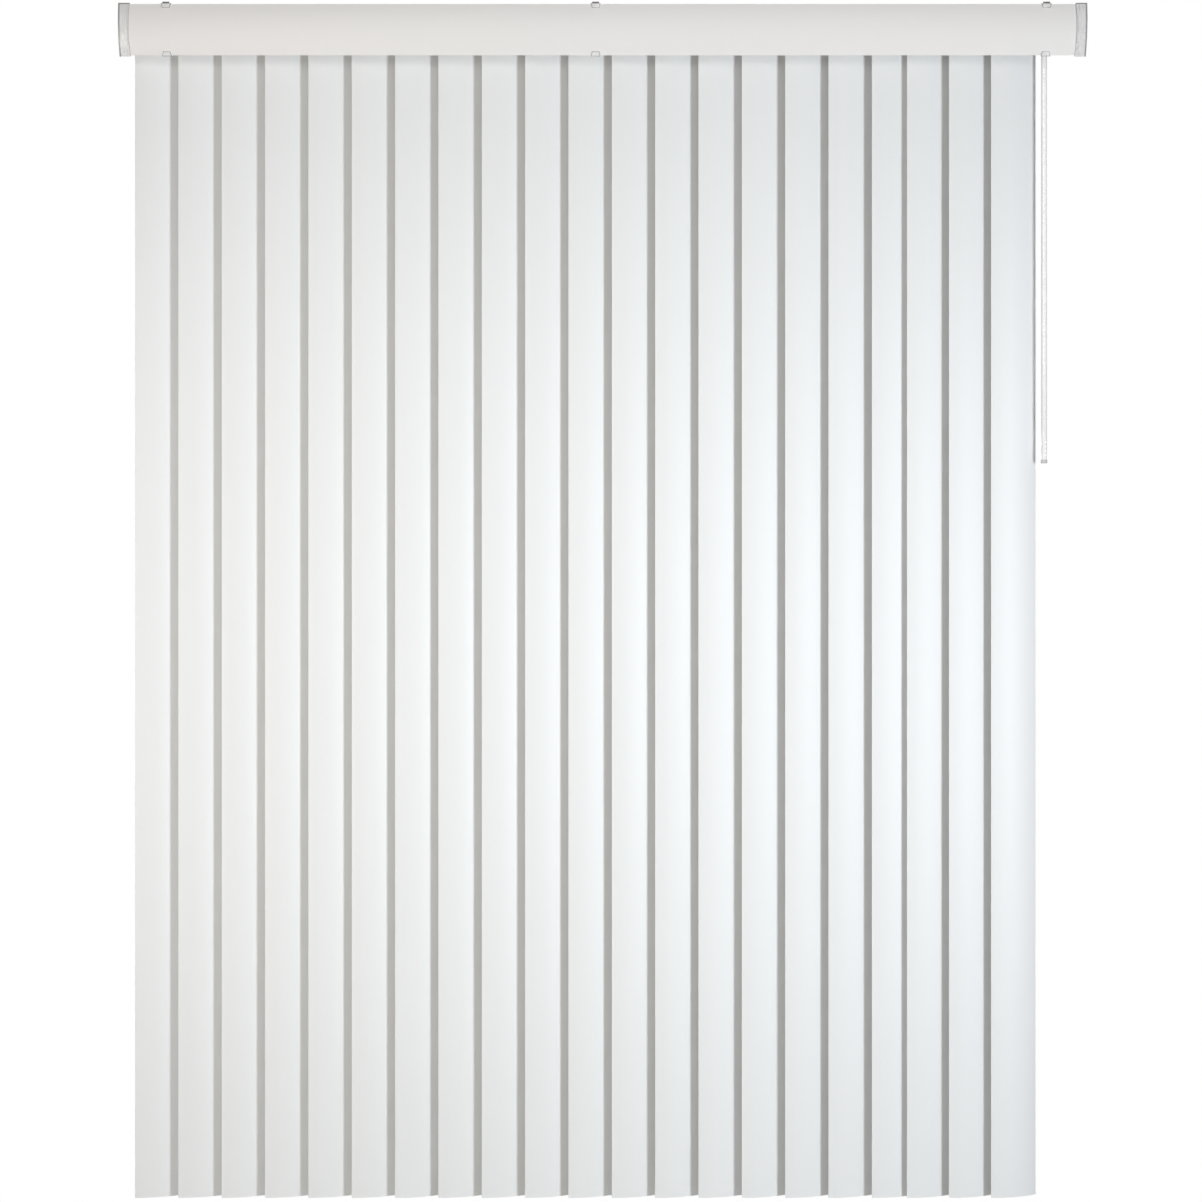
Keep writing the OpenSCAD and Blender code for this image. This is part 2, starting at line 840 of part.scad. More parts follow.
// Top of the wand: two ears and a pin through the eye, and a socket for the rod
module wand_top_clip() {
    ear_in = eye_t / 2 + play;
    color(cream)
        translate([wand_x, 0, 0])
            difference() {
                union() {
                    translate([0, 0, sleeve_bot])
                        cylinder(d = sleeve_d, h = sleeve_l - top_cone);
                    translate([0, 0, sleeve_top - top_cone])
                        cylinder(d1 = sleeve_d, d2 = sleeve_d - top_cone, h = top_cone);
                    for (side = [-1, 1])
                        translate([side * (ear_in + ear_t / 2), 0, 0]) {
                            translate([0, 0, (eye_z + sleeve_top - over) / 2])
                                cube([ear_t, eye_w, eye_z - sleeve_top + over], center = true);
                            translate([0, 0, eye_z])
                                rotate([0, 90, 0])
                                    cylinder(r = eye_r, h = ear_t, center = true);
                        }
                    translate([0, 0, eye_z])
                        rotate([0, 90, 0])
                            cylinder(d = hinge_d, h = 2 * (ear_in + ear_t), center = true);
                }
                translate([0, 0, sleeve_bot - over])
                    cylinder(r = wand_r, h = socket_l + over, $fn = 6);
            }
}

module wand_rod() {
    color(clear)
        translate([wand_x, 0, tip_top - tip_socket])
            cylinder(r = wand_r, h = wand_top - tip_top + tip_socket, $fn = 6);
}

// Tip of the wand: a thin cup over the end of the rod, bevelled below
module wand_tip() {
    color(clear)
        translate([wand_x, 0, 0])
            difference() {
                union() {
                    translate([0, 0, tip_bevel - wand_drop])
                        cylinder(d = tip_d, h = tip_l - tip_bevel);
                    translate([0, 0, -wand_drop])
                        cylinder(d1 = tip_d - 2 * tip_bevel, d2 = tip_d, h = tip_bevel);
                }
                translate([0, 0, tip_top - tip_socket])
                    cylinder(r = wand_r, h = tip_socket + over, $fn = 6);
            }
}

headrail();
end_cap(-1);  // end_cap_left
end_cap(1);  // end_cap_right
tilt_rod();
bracket(-bracket_span / 2);  // bracket_left
bracket(bracket_shift);  // bracket_centre
bracket(bracket_span / 2);  // bracket_right
valance_strip();
valance_end(-1);  // valance_end_left
valance_end(1);  // valance_end_right
valance_clip(clip_shares[0]);  // valance_clip_left
valance_clip(clip_shares[1]);  // valance_clip_centre
valance_clip(clip_shares[2]);  // valance_clip_right
wand_stem();
wand_top_clip();
wand_rod();
wand_tip();
carrier(1);  // carrier_01
carrier(2);  // carrier_02
carrier(3);  // carrier_03
carrier(4);  // carrier_04
carrier(5);  // carrier_05
carrier(6);  // carrier_06
carrier(7);  // carrier_07
carrier(8);  // carrier_08
carrier(9);  // carrier_09
carrier(10);  // carrier_10
carrier(11);  // carrier_11
carrier(12);  // carrier_12
carrier(13);  // carrier_13
carrier(14);  // carrier_14
carrier(15);  // carrier_15
carrier(16);  // carrier_16
carrier(17);  // carrier_17
carrier(18);  // carrier_18
carrier(19);  // carrier_19
carrier(20);  // carrier_20
carrier(21);  // carrier_21
vane(1);  // vane_01
vane(2);  // vane_02
vane(3);  // vane_03
vane(4);  // vane_04
vane(5);  // vane_05
vane(6);  // vane_06
vane(7);  // vane_07
vane(8);  // vane_08
vane(9);  // vane_09
vane(10);  // vane_10
vane(11);  // vane_11
vane(12);  // vane_12
vane(13);  // vane_13
vane(14);  // vane_14
vane(15);  // vane_15
vane(16);  // vane_16
vane(17);  // vane_17
vane(18);  // vane_18
vane(19);  // vane_19
vane(20);  // vane_20
vane(21);  // vane_21
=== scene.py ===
# %% [markdown]
# # A white vertical blind
# Twenty-one crowned PVC vanes hang from carriers that roll in a headrail. A curved valance of the
# same PVC hides the headrail, three clear clips hold it, and a clear wand hangs at the right.
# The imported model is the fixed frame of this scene. It gives every piece its place and the body
# that it moves with, so a new piece is built where the old one is and never pushed into position.

# %% Load the frame
import json
import math
import bmesh
import bpy
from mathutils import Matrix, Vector


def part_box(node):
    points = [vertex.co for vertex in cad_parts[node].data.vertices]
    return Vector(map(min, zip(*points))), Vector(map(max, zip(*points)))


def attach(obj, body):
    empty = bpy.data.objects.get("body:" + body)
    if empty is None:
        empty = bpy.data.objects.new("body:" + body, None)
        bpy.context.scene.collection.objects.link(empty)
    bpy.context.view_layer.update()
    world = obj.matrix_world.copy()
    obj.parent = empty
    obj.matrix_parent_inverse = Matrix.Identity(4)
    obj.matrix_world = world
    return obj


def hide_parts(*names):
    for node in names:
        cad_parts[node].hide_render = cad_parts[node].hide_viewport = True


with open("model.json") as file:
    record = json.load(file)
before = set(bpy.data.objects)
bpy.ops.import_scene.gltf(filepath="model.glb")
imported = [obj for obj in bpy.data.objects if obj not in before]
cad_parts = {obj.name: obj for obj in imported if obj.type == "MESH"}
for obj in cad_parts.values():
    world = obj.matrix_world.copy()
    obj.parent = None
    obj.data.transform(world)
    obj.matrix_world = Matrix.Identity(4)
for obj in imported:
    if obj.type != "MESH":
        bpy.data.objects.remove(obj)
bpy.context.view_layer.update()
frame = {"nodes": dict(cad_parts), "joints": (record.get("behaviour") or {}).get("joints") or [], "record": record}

nodes = frame["nodes"]

# %% [markdown]
# ## Sizes
# A PVC vane is extruded as a flat strip and takes its crown while it is warm. Its width, crown and
# thickness fix the radius of the curve, and the hinge of each vane says where its axis hangs.

# %% Sizes of a vane, in metres
MM = 0.001
VANE_WIDTH = 88.9 * MM
VANE_CROWN = 7.0 * MM
VANE_SHEET = 0.7 * MM
VANE_TURN = math.radians(18)
CURVE_RADIUS = (VANE_WIDTH ** 2 / 4 + VANE_CROWN ** 2) / (2 * VANE_CROWN)
CURVE_ANGLE = 2 * math.asin(VANE_WIDTH / 2 / CURVE_RADIUS)
vane_names = sorted(n for n in nodes if n.startswith("vane_"))
vane_axis = {j["child"]: j["pos_m"][0] for j in frame["joints"] if j["name"].startswith("tilt_")}
vane_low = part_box("vane_01")[0].z
print("vanes:", len(vane_names))
print("curve: radius %.1f mm, %.1f degrees round" % (CURVE_RADIUS / MM, math.degrees(CURVE_ANGLE)))

# %% [markdown]
# ## Camera
# The blind is seen straight on from about four and a half metres, at half its height. The right
# ends of the vanes' lower edges sit a little higher in the picture than the left ends, because they
# are further back, and that fixes the distance. No tilt and no shift keep all the uprights parallel.

# %% The camera
FRAME_PIXELS = 1202
FOCAL_PIXELS = 2503
SENSOR_MM = 36
CAMERA_PLACE = (-0.003, -4.5, -1.0625)
camera_data = bpy.data.cameras.new("studio_camera")
camera = bpy.data.objects.new("studio_camera", camera_data)
bpy.context.scene.collection.objects.link(camera)
camera.location = CAMERA_PLACE
camera.rotation_euler = (math.radians(90), 0, 0)
camera_data.sensor_width = SENSOR_MM
camera_data.lens = SENSOR_MM * FOCAL_PIXELS / FRAME_PIXELS
camera_data.clip_end = 60
bpy.context.scene.camera = camera
bpy.context.scene.view_settings.view_transform = "Standard"
print("lens %.1f mm" % camera_data.lens)

# %% [markdown]
# ## Floor and surroundings
# The blind hangs in front of plain white. The world is white to the camera, to gloss and to clear
# plastic, and a soft, dimmer fill to everything else, so the white behind the blind adds no light to it.
# The floor is pale and lies below the vanes. Close to the blind it glows a little less and adds the light
# that falls on it, so that only the blind's shadow shows there. Further off it runs out to the white of
# the world. From below it is open, so the blind shows from there too.

# %% Helpers for node trees
def link(tree, out_socket, in_socket):
    tree.links.new(out_socket, in_socket)


def add_node(tree, kind, values=None, **settings):
    """A new shader node: values go to its inputs by name or number, settings to the node itself."""
    node = tree.nodes.new("ShaderNode" + kind)
    for setting, value in settings.items():
        setattr(node, setting, value)
    for socket, value in (values or {}).items():
        node.inputs[socket].default_value = value
    return node


def math_node(tree, operation, *terms):
    """The result of a math node. Each term is a number or the socket that it comes from."""
    node = add_node(tree, "Math", operation=operation)
    for socket, term in zip(node.inputs, terms):
        if isinstance(term, (int, float)):
            socket.default_value = term
        else:
            link(tree, term, socket)
    return node.outputs[0]


def mix_shaders(tree, share, first, second):
    """Shows the first shader where share is 0 and the second where it is 1."""
    node = add_node(tree, "MixShader")
    for socket, source in zip(node.inputs, (share, first, second)):
        link(tree, source, socket)
    return node.outputs[0]


def seen_directly(tree):
    """A value of 1 for rays that show a surface: from the camera, off gloss or through clear plastic."""
    rays = add_node(tree, "LightPath").outputs
    first_hit = math_node(tree, "MAXIMUM", rays["Is Camera Ray"], rays["Is Glossy Ray"])
    return math_node(tree, "MAXIMUM", first_hit, rays["Is Transmission Ray"])


# %% The world
SOFT_FILL = (1.0, 0.985, 0.95, 1)
SOFT_LEVEL = 0.05
world = bpy.data.worlds.new("studio_white")
bpy.context.scene.world = world
world.use_nodes = True
tree = world.node_tree
tree.nodes.clear()
soft_fill = add_node(tree, "Background", {"Color": SOFT_FILL, "Strength": SOFT_LEVEL})
plain_white = add_node(tree, "Background", {"Color": (1, 1, 1, 1), "Strength": 1.0})
surroundings = mix_shaders(tree, seen_directly(tree), soft_fill.outputs[0], plain_white.outputs[0])
world_out = add_node(tree, "OutputWorld")
link(tree, surroundings, world_out.inputs["Surface"])
print("world: soft fill at", SOFT_LEVEL)

# %% The floor
FLOOR_SIZE = 16
FLOOR_DROP = 0.12
FLOOR_GREY = (0.60, 0.60, 0.59, 1)
NEAR_GLOW = 0.62
NEAR_SHAPE = (0.45, 1.4, 0)
NEAR_START, NEAR_STOP = 0.15, 0.60
bpy.ops.object.select_all(action="DESELECT")
bpy.ops.mesh.primitive_plane_add(size=FLOOR_SIZE, location=(0, 0, vane_low - FLOOR_DROP))
floor = bpy.context.object
floor.name = "studio_floor"
floor_material = bpy.data.materials.new("floor_white")
floor_material.use_nodes = True
tree = floor_material.node_tree
tree.nodes.clear()
matt = add_node(tree, "BsdfDiffuse", {"Color": FLOOR_GREY})
near_glow = add_node(tree, "Emission", {"Strength": NEAR_GLOW})
far_glow = add_node(tree, "Emission", {"Strength": 1.0})
near = add_node(tree, "AddShader")
link(tree, matt.outputs[0], near.inputs[0])
link(tree, near_glow.outputs[0], near.inputs[1])
stretched = add_node(tree, "VectorMath", {1: NEAR_SHAPE}, operation="MULTIPLY")
link(tree, add_node(tree, "TexCoord").outputs["Object"], stretched.inputs[0])
reach = add_node(tree, "VectorMath", operation="LENGTH")
link(tree, stretched.outputs[0], reach.inputs[0])
run_out = add_node(
    tree, "MapRange", {"From Min": NEAR_START, "From Max": NEAR_STOP}, interpolation_type="SMOOTHSTEP",
)
link(tree, reach.outputs["Value"], run_out.inputs["Value"])
shown = mix_shaders(tree, run_out.outputs["Result"], near.outputs[0], far_glow.outputs[0])
from_above = mix_shaders(tree, seen_directly(tree), matt.outputs[0], shown)
behind = add_node(tree, "NewGeometry").outputs["Backfacing"]
both_sides = mix_shaders(tree, behind, from_above, add_node(tree, "BsdfTransparent").outputs[0])
floor_out = add_node(tree, "OutputMaterial")
link(tree, both_sides, floor_out.inputs["Surface"])
floor.data.materials.append(floor_material)
print("floor %.2f m below the vanes" % (vane_low - floor.location.z))

# %% [markdown]
# ## Light
# Each vane's left edge stands in front of its neighbour and throws a narrow shadow to the left, so
# the main light is on the right. The shadows are wider at the left end than at the right one, which puts
# that light under four metres away, half way round to the side. A wide fill on the left keeps the
# shadows pale there. Both stand near half height: the vanes fade towards both ends, and the valance is
# darkest at its top. The main light is a little cool and the fill a little warm, as the shadows are.
# A weak lamp high in front is stopped by the valance and leaves a soft shadow below it. A lamp behind
# and to the left shows the back of the blind. From there the vanes shade one another, so little of its
# light comes through the gaps to the front. The last lamp hangs over the headrail and is linked to the
# rail, its caps and brackets alone, so that the vanes keep their shadows.

# %% The lamps
def softbox(name, place, aim, size, watts, colour, spread=180):
    data = bpy.data.lights.new(name, "AREA")
    data.shape = "RECTANGLE"
    data.size, data.size_y = size
    data.energy = watts
    data.color = colour
    data.spread = math.radians(spread)
    lamp = bpy.data.objects.new(name, data)
    bpy.context.scene.collection.objects.link(lamp)
    lamp.location = place
    lamp.rotation_euler = (Vector(aim) - Vector(place)).to_track_quat("-Z", "Y").to_euler()
    print("lamp:", name, watts, "watts")
    return lamp


softbox(
    "key_right", place=(2.6, -2.65, -1.2), aim=(-0.9, 0, -1.05), size=(0.8, 1.3), watts=36.4,
    colour=(0.895, 0.945, 1.0), spread=120,
)
softbox(
    "fill_left", place=(-1.75, -2.8, -1.2), aim=(-0.1, 0, -1.08), size=(1.4, 1.2), watts=19.8,
    colour=(1.0, 0.943, 0.862), spread=130,
)
softbox(
    "high_front", place=(-0.2, -3.5, 0.15), aim=(0, 0, -0.95), size=(2.5, 1.0), watts=9.8,
    colour=(1.0, 0.985, 0.965), spread=110,
)
softbox(
    "back_left", place=(-2.7, 1.9, -0.9), aim=(0.2, 0, -1.0), size=(1.4, 1.4), watts=46,
    colour=(1.0, 1.0, 0.99),
)
rail_lamp = softbox(
    "top_rail", place=(0, 0.7, 1.5), aim=(0, 0.1, 0), size=(2.2, 0.4), watts=14,
    colour=(1.0, 1.0, 0.99), spread=100,
)
under_top_lamp = bpy.data.collections.new("under_top_lamp")
for name in nodes:
    if name == "headrail" or name.startswith(("end_cap_", "bracket_")):
        under_top_lamp.objects.link(nodes[name])
rail_lamp.light_linking.receiver_collection = under_top_lamp

# %% [markdown]
# ## Shared surface effects
# Two effects repeat on this blind. Extruded pieces, such as vanes, valance and rod, carry faint
# lines along the way they left the die. Moulded pieces, such as carriers, caps and clips, carry a fine
# grain from the tool and a little mottling. Each is a node group, so one recipe serves many finishes.

# %% Node groups for extruded lines and moulded grain
FINE_DETAIL, COARSE_DETAIL = 2.0, 3.0


def surface_group(name, scale_name, fine_roughness, coarse_scale, coarse_roughness, fine_share):
    """A group with a fine noise, whose scale is an input, and a coarse one. Tone mixes the two."""
    group = bpy.data.node_groups.new(name, "ShaderNodeTree")
    for socket, way, kind in (
        ("Coordinates", "INPUT", "NodeSocketVector"), (scale_name, "INPUT", "NodeSocketFloat"),
        ("Tone", "OUTPUT", "NodeSocketFloat"), ("Height", "OUTPUT", "NodeSocketFloat"),
    ):
        group.interface.new_socket(name=socket, in_out=way, socket_type=kind)
    given = group.nodes.new("NodeGroupInput").outputs
    made = group.nodes.new("NodeGroupOutput").inputs
    fine = add_node(group, "TexNoise", {"Detail": FINE_DETAIL, "Roughness": fine_roughness})
    coarse = add_node(
        group, "TexNoise", {"Scale": coarse_scale, "Detail": COARSE_DETAIL, "Roughness": coarse_roughness},
    )
    for noise in (fine, coarse):
        link(group, given["Coordinates"], noise.inputs["Vector"])
    link(group, given[scale_name], fine.inputs["Scale"])
    fine_tone = math_node(group, "MULTIPLY", fine.outputs["Fac"], fine_share)
    tone = math_node(group, "MULTIPLY_ADD", coarse.outputs["Fac"], 1 - fine_share, fine_tone)
    link(group, tone, made["Tone"])
    link(group, fine.outputs["Fac"], made["Height"])
    print("group:", name)
    return group


extruded = surface_group(
    "extruded_lines", "Lines per metre", fine_roughness=0.55, coarse_scale=7.0, coarse_roughness=0.6,
    fine_share=0.55,
)
moulded = surface_group(
    "moulded_grain", "Grains per metre", fine_roughness=0.5, coarse_scale=60.0, coarse_roughness=0.55,
    fine_share=0.3,
)

# %% [markdown]
# ## Finishes
# Each finish is a Principled shader whose colour, roughness and bump vary with one of the two groups.
# The mapping stretches an extruded pattern along the piece: a vane came out of its die upright as it
# hangs here, and the valance and the rod lie along X.

# %% A recipe for the finishes
UPRIGHT = (1.0, 1.0, 0.004)
LENGTHWISE = (0.004, 1.0, 1.0)
EVEN = (1.0, 1.0, 1.0)


def finish(name, group, stretch, scale, light, dark, rough, bump,
           metallic=0.0, clear=0.0, ior=1.5, coat=0.0):
    """A material: group is the surface effect and stretch scales its coordinates. light and dark are its
    two colours, rough its two roughness values, and bump the strength and height of its relief."""
    material = bpy.data.materials.new(name)
    material.use_nodes = True
    tree = material.node_tree
    shader = tree.nodes["Principled BSDF"]
    mapping = add_node(tree, "Mapping", {"Scale": stretch})
    link(tree, add_node(tree, "TexCoord").outputs["Object"], mapping.inputs["Vector"])
    effect = add_node(tree, "Group", node_tree=group)
    effect.inputs[1].default_value = scale
    link(tree, mapping.outputs["Vector"], effect.inputs["Coordinates"])
    colour = add_node(tree, "Mix", data_type="RGBA")
    colour.inputs["A"].default_value = (*dark, 1)
    colour.inputs["B"].default_value = (*light, 1)
    link(tree, effect.outputs["Tone"], colour.inputs["Factor"])
    link(tree, colour.outputs["Result"], shader.inputs["Base Color"])
    gloss = add_node(tree, "MapRange", {"To Min": rough[0], "To Max": rough[1]})
    link(tree, effect.outputs["Tone"], gloss.inputs["Value"])
    link(tree, gloss.outputs["Result"], shader.inputs["Roughness"])
    relief = add_node(tree, "Bump", {"Strength": bump[0], "Distance": bump[1]})
    link(tree, effect.outputs["Height"], relief.inputs["Height"])
    link(tree, relief.outputs["Normal"], shader.inputs["Normal"])
    shader.inputs["Metallic"].default_value = metallic
    shader.inputs["Transmission Weight"].default_value = clear
    shader.inputs["IOR"].default_value = ior
    shader.inputs["Coat Weight"].default_value = coat
    print("finish:", name)
    return material


# %% The finishes of the plastics
vane_pvc = finish(
    "vane_pvc", extruded, UPRIGHT, scale=420.0, light=(0.885, 0.895, 0.895), dark=(0.865, 0.872, 0.872),
    rough=(0.42, 0.56), bump=(0.10, 0.0004),
)
valance_pvc = finish(
    "valance_pvc", extruded, LENGTHWISE, scale=420.0, light=(0.905, 0.886, 0.873),
    dark=(0.885, 0.864, 0.852), rough=(0.40, 0.54), bump=(0.10, 0.0004),
)
cap_white = finish(
    "cap_white", moulded, EVEN, scale=2500.0, light=(0.88, 0.88, 0.87), dark=(0.85, 0.85, 0.84),
    rough=(0.34, 0.46), bump=(0.15, 0.0002),
)
carrier_nylon = finish(
    "carrier_nylon", moulded, EVEN, scale=1800.0, light=(0.86, 0.85, 0.81), dark=(0.81, 0.80, 0.76),
    rough=(0.38, 0.52), bump=(0.15, 0.0002),
)

# %% [markdown]
# ## Clear plastics
# Clear plastic shows by its edges. A face that looks at the viewer lets the white behind it through, while
# a face that is turned away, or a wall seen along its length, loses the light and looks grey. That grey is
# painted shade here: the colour of these finishes is painted grey with the facing of the surface, and in a
# few places where a wall stands edge on: the outer ends and the upper rim of the valance's caps. On the
# clips, marked faces take painted shade as well: the tabs, seen through their full depth, and the lips' borders.

# %% Helpers for clear plastics
ACRYLIC_IOR = 1.49
TURNED_START, TURNED_STOP = 0.12, 0.55


def add_painted_shade(material, mask, colour):
    """Mixes a painted shade colour into the colour that the shader has, where the mask is 1."""
    tree = material.node_tree
    shader = tree.nodes["Principled BSDF"]
    shade_mix = add_node(tree, "Mix", data_type="RGBA")
    shade_mix.inputs["B"].default_value = (*colour, 1)
    link(tree, shader.inputs["Base Color"].links[0].from_socket, shade_mix.inputs["A"])
    link(tree, mask, shade_mix.inputs["Factor"])
    link(tree, shade_mix.outputs["Result"], shader.inputs["Base Color"])


def ramp_node(tree, value, start, stop):
    """Runs from 0 where the value is start to 1 where it is stop."""
    ramp = add_node(tree, "MapRange", {"From Min": start, "From Max": stop})
    link(tree, value, ramp.inputs["Value"])
    return ramp.outputs["Result"]


def place_parts(tree):
    """The X, Y and Z of the place on the piece."""
    parts = add_node(tree, "SeparateXYZ")
    link(tree, add_node(tree, "TexCoord").outputs["Object"], parts.inputs[0])
    return parts.outputs


def clear_finish(name, group, stretch, scale, light, dark, edge, rough, bump, clear):
    """A clear finish whose colour runs to edge, a painted shade, where the surface turns away from the viewer."""
    material = finish(name, group, stretch, scale, light, dark, rough, bump, clear=clear, ior=ACRYLIC_IOR)
    tree = material.node_tree
    # Painted shade: the colour greys as the surface turns from the viewer, for the light that clear plastic loses
    # there.
    turned = add_node(tree, "LayerWeight", {"Blend": 0.5}).outputs["Facing"]
    add_painted_shade(material, ramp_node(tree, turned, TURNED_START, TURNED_STOP), edge)
    return material


# %% The finish of the valance's caps
# Painted shade: the caps' outer ends and upper rim are painted grey, where a clear wall stands edge on.
EDGE_ON_PAINTED_SHADE = (0.36, 0.35, 0.35)
END_SHADE_START, END_SHADE_STOP = 0.8556, 0.8562
RIM_SHADE_START, RIM_SHADE_STOP = -0.0050, -0.0045
valance_end = clear_finish(
    "valance_end", extruded, UPRIGHT, scale=240.0, light=(0.93, 0.92, 0.92), dark=(0.85, 0.84, 0.84),
    edge=(0.42, 0.41, 0.41), rough=(0.20, 0.34), bump=(0.05, 0.0002), clear=0.12,
)
tree = valance_end.node_tree
# Painted shade at the outer ends, then along the upper rim.
outwards = math_node(tree, "ABSOLUTE", place_parts(tree)["X"])
add_painted_shade(valance_end, ramp_node(tree, outwards, END_SHADE_START, END_SHADE_STOP), EDGE_ON_PAINTED_SHADE)
upwards = place_parts(tree)["Z"]
add_painted_shade(valance_end, ramp_node(tree, upwards, RIM_SHADE_START, RIM_SHADE_STOP), EDGE_ON_PAINTED_SHADE)

# %% The finish of the clips
# Painted shade: the tabs, seen through their full depth, and the lips' borders are painted darker.
TAB_PAINTED_SHADE = (0.16, 0.155, 0.15)
BORDER_PAINTED_SHADE = (0.52, 0.51, 0.50)
clip_clear = clear_finish(
    "clip_clear", moulded, EVEN, scale=900.0, light=(0.97, 0.97, 0.97), dark=(0.92, 0.92, 0.92),
    edge=(0.34, 0.33, 0.32), rough=(0.10, 0.20), bump=(0.03, 0.0002), clear=0.12,
)
for mark, shade_colour in (("tab", TAB_PAINTED_SHADE), ("border", BORDER_PAINTED_SHADE)):
    marked = add_node(clip_clear.node_tree, "Attribute", attribute_name=mark)
    add_painted_shade(clip_clear, marked.outputs["Fac"], shade_colour)

# %% The finishes of the wand
# The wand's edge colours are painted shade on the faces turned from the viewer.
wand_clear = clear_finish(
    "wand_clear", extruded, UPRIGHT, scale=700.0, light=(0.96, 0.96, 0.96), dark=(0.92, 0.92, 0.92),
    edge=(0.46, 0.46, 0.46), rough=(0.03, 0.08), bump=(0.005, 0.0002), clear=0.80,
)
wand_fitting = clear_finish(
    "wand_fitting", moulded, EVEN, scale=1500.0, light=(0.95, 0.95, 0.94), dark=(0.91, 0.91, 0.90),
    edge=(0.70, 0.70, 0.69), rough=(0.10, 0.20), bump=(0.02, 0.0002), clear=0.70,
)

# %% The finishes of the metals
rail_white = finish(
    "rail_white", moulded, EVEN, scale=1100.0, light=(0.88, 0.88, 0.87), dark=(0.86, 0.86, 0.85),
    rough=(0.28, 0.40), bump=(0.18, 0.0003), coat=0.15,
)
bracket_steel = finish(
    "bracket_steel", moulded, EVEN, scale=500.0, light=(0.66, 0.67, 0.69), dark=(0.52, 0.53, 0.55),
    rough=(0.24, 0.44), bump=(0.10, 0.0002), metallic=1.0,
)
rod_aluminium = finish(
    "rod_aluminium", extruded, LENGTHWISE, scale=1500.0, light=(0.78, 0.79, 0.80), dark=(0.68, 0.69, 0.70),
    rough=(0.22, 0.42), bump=(0.18, 0.0003), metallic=1.0,
)

# %% Dress the frame's own nodes
finish_of = {
    "vane_pvc": vane_pvc, "valance_pvc": valance_pvc, "valance_end": valance_end,
    "clip_clear": clip_clear, "wand_clear": wand_clear, "wand_fitting": wand_fitting,
    "cap_white": cap_white, "carrier_nylon": carrier_nylon, "rail_white": rail_white,
    "bracket_steel": bracket_steel, "rod_aluminium": rod_aluminium,
}
for part in frame["record"]["subparts"]:
    node = nodes[part["node"]]
    node.data.materials.clear()
    node.data.materials.append(finish_of[part["material_slot"]])

# %% [markdown]
# ## A vane
# The flat strip of a vane is drawn as one upright edge and spun round the centre of its curve, the way
# a sheet is rolled. A solidify modifier gives it the thickness of the sheet, a boolean punches the slot
# that the hanger's barb goes through, and a fine bevel rounds the cut edges so that they catch light.

# %% Helpers for editing
def activate(obj):
    bpy.ops.object.select_all(action="DESELECT")
    bpy.context.view_layer.objects.active = obj
    obj.select_set(True)


def start_edit(obj):
    activate(obj)
    bpy.ops.object.mode_set(mode="EDIT")


def end_edit():
    bpy.ops.object.mode_set(mode="OBJECT")


def apply_modifier(obj, kind, **settings):
    activate(obj)
    modifier = obj.modifiers.new(kind.lower(), kind)
    for setting, value in settings.items():
        setattr(modifier, setting, value)
    bpy.ops.object.modifier_apply(modifier=modifier.name)


def smooth_by_angle(obj, degrees):
    activate(obj)
    bpy.ops.object.shade_smooth_by_angle(angle=math.radians(degrees))


def copy_of(obj):
    twin = obj.copy()
    twin.data = obj.data.copy()
    bpy.context.scene.collection.objects.link(twin)
    return twin


def new_block(place, size):
    """A plain block. Its size is in its mesh already, and its place is not."""
    bpy.ops.object.select_all(action="DESELECT")
    bpy.ops.mesh.primitive_cube_add(size=1, location=place, scale=size)
    bpy.ops.object.transform_apply(location=False, rotation=False, scale=True)
    return bpy.context.object


# %% Helpers for rolled sheets and rounded edges
WELD = 0.01 * MM
SHEET_STEPS = 32
LONG_EDGE = 10 * MM


def start_point(place):
    """A new mesh of one point, left open for editing, from which an edge is drawn out."""
    bpy.ops.object.select_all(action="DESELECT")
    bpy.ops.mesh.primitive_plane_add(size=1)
    piece = bpy.context.object
    start_edit(piece)
    bpy.ops.mesh.select_all(action="SELECT")
    bpy.ops.mesh.merge(type="CENTER")
    bpy.ops.mesh.select_all(action="SELECT")
    bpy.ops.transform.translate(value=place)
    return piece


def draw_edge(steps):
    """Draws an edge out of the point, one step after the other."""
    for step in steps:
        bpy.ops.mesh.extrude_vertices_move(TRANSFORM_OT_translate={"value": step})
    bpy.ops.mesh.select_all(action="SELECT")


def spin_round(letter, axis, centre, steps):
    """Turns what is selected back by half the curve and spins it round the centre of the curve."""
    bpy.ops.transform.rotate(value=-CURVE_ANGLE / 2, orient_axis=letter, center_override=centre)
    bpy.ops.mesh.spin(steps=steps, angle=CURVE_ANGLE, center=centre, axis=axis)


def end_sheet():
    bpy.ops.mesh.select_all(action="SELECT")
    bpy.ops.mesh.remove_doubles(threshold=WELD)
    bpy.ops.mesh.normals_make_consistent(inside=False)
    end_edit()


def bevel_along(obj, axis, offset, segments):
    """Rounds the long edges that run along an axis: 0, 1 or 2."""
    start_edit(obj)
    bpy.ops.mesh.select_mode(type="EDGE")
    bpy.ops.mesh.select_all(action="DESELECT")
    shape = bmesh.from_edit_mesh(obj.data)
    for edge in shape.edges:
        first, second = (v.co for v in edge.verts)
        edge.select_set(abs(first[axis] - second[axis]) > LONG_EDGE)
    bmesh.update_edit_mesh(obj.data)
    bpy.ops.mesh.bevel(offset=offset, segments=segments, affect="EDGES")
    end_edit()


def round_edges(obj, width, segments, sharp_from, smooth_below):
    """Bevels the edges that turn by more than sharp_from degrees and shades the faces smooth."""
    limit = math.radians(sharp_from)
    apply_modifier(obj, "BEVEL", width=width, segments=segments, limit_method="ANGLE", angle_limit=limit)
    smooth_by_angle(obj, smooth_below)
    apply_modifier(obj, "WEIGHTED_NORMAL", keep_sharp=True)


